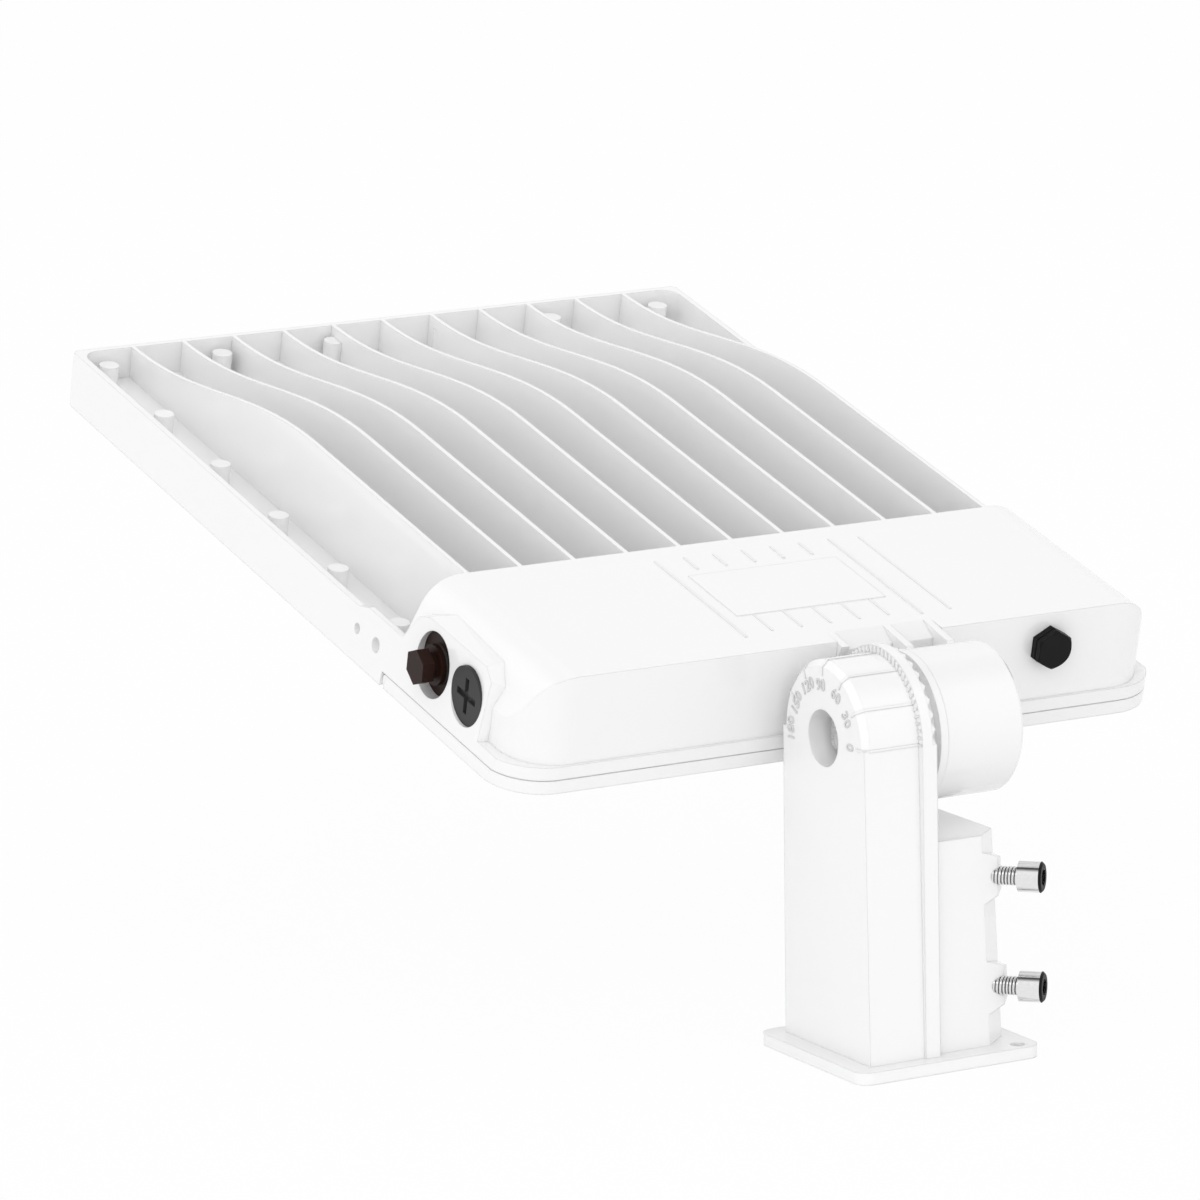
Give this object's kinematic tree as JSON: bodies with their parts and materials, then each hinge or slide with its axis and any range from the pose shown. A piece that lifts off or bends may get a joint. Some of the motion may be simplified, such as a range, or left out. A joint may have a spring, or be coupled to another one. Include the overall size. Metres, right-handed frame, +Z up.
{
  "type": "outdoor area light",
  "caption": "Flat finned outdoor LED area light on a tilting slip fitter for a round pole tenon, with side ports and a hinged driver door.",
  "frame": {"origin": "centre of the tenon socket's mouth, at the underside of the slip fitter's foot", "axes": "+Z up along the pole, +Y from the pole towards the nose of the head, +X to the right seen from behind the pole; the tilt axis lies along X at 148 mm above the origin"},
  "size_m": [0.3497, 0.5514, 0.2673],
  "materials": {
    "head_paint": "white powder coat",
    "tower_paint": "white powder coat",
    "bright_steel": "bright stainless",
    "seal_rubber": "matt",
    "board": "white solder mask",
    "chips": "phosphor",
    "lens": "clear polycarbonate",
    "driver_case": "anodised",
    "red_plastic": "moulded",
    "pale_plastic": "moulded",
    "brown_plastic": "moulded nylon",
    "charcoal_plastic": "moulded nylon",
    "black_plastic": "moulded nylon"
  },
  "bodies": {
    "mount": {"slip_fitter": "tower_paint", "wire_grommet": "seal_rubber", "pivot_bolt": "bright_steel", "pivot_head_washer": "bright_steel", "pivot_nut_washer": "bright_steel", "pivot_nut": "bright_steel"},
    "head": {"head_casting": "head_paint", "drum_cap": "head_paint", "led_board": "board", "led_chips": "chips", "lens_gasket": "seal_rubber", "lens_plate": "lens", "lens_screws": "bright_steel", "driver": "driver_case", "driver_screws": "bright_steel", "surge_protector": "red_plastic", "terminal_block": "pale_plastic", "sensor_socket": "brown_plastic", "switch_bracket": "bright_steel", "selector_switch": "charcoal_plastic", "vent_plug": "black_plastic", "vent_oring": "seal_rubber", "vent_nut": "bright_steel", "hinge_pins": "bright_steel"},
    "door": {"driver_door": "head_paint", "door_gasket": "seal_rubber", "door_screws": "bright_steel"},
    "tenon_screw_rear_upper_body": {"tenon_screw_rear_upper": "bright_steel"},
    "tenon_screw_rear_lower_body": {"tenon_screw_rear_lower": "bright_steel"},
    "tenon_screw_front_upper_body": {"tenon_screw_front_upper": "bright_steel"},
    "tenon_screw_front_lower_body": {"tenon_screw_front_lower": "bright_steel"},
    "sensor_plug": {"sensor_port_plug": "brown_plastic", "sensor_port_oring": "seal_rubber"},
    "switch_plug": {"switch_port_plug": "charcoal_plastic", "switch_port_oring": "seal_rubber"},
    "knob": {"selector_knob": "red_plastic"}
  },
  "joints": [
    {"name": "head_tilt", "type": "hinge", "parent": "mount", "child": "head", "pos_m": [0, 0, 0.148], "axis": [1, 0, 0], "range_deg": [-14.2, 160]},
    {"name": "door_hinge", "type": "hinge", "parent": "head", "child": "door", "pos_m": [0, 0.1622, 0.16088], "axis": [1, 0, 0], "range_deg": [0, 90]},
    {"name": "tenon_screw_rear_upper_turn_in", "type": "slide", "parent": "mount", "child": "tenon_screw_rear_upper_body", "axis": [0.7071, -0.7071, 0], "range_m": [-0.006, 0.006]},
    {"name": "tenon_screw_rear_lower_turn_in", "type": "slide", "parent": "mount", "child": "tenon_screw_rear_lower_body", "axis": [0.7071, -0.7071, 0], "range_m": [-0.006, 0.006]},
    {"name": "tenon_screw_front_upper_turn_in", "type": "slide", "parent": "mount", "child": "tenon_screw_front_upper_body", "axis": [0.7071, 0.7071, 0], "range_m": [-0.006, 0.006]},
    {"name": "tenon_screw_front_lower_turn_in", "type": "slide", "parent": "mount", "child": "tenon_screw_front_lower_body", "axis": [0.7071, 0.7071, 0], "range_m": [-0.006, 0.006]},
    {"name": "sensor_plug_out", "type": "slide", "parent": "head", "child": "sensor_plug", "axis": [-1, 0, 0], "range_m": [0, 0.03]},
    {"name": "switch_plug_out", "type": "slide", "parent": "head", "child": "switch_plug", "axis": [-1, 0, 0], "range_m": [0, 0.025]},
    {"name": "selector_turn", "type": "hinge", "parent": "head", "child": "knob", "pos_m": [-0.145, 0.08837, 0.16727], "axis": [1, 0, 0], "range_deg": [0, 120]}
  ]
}
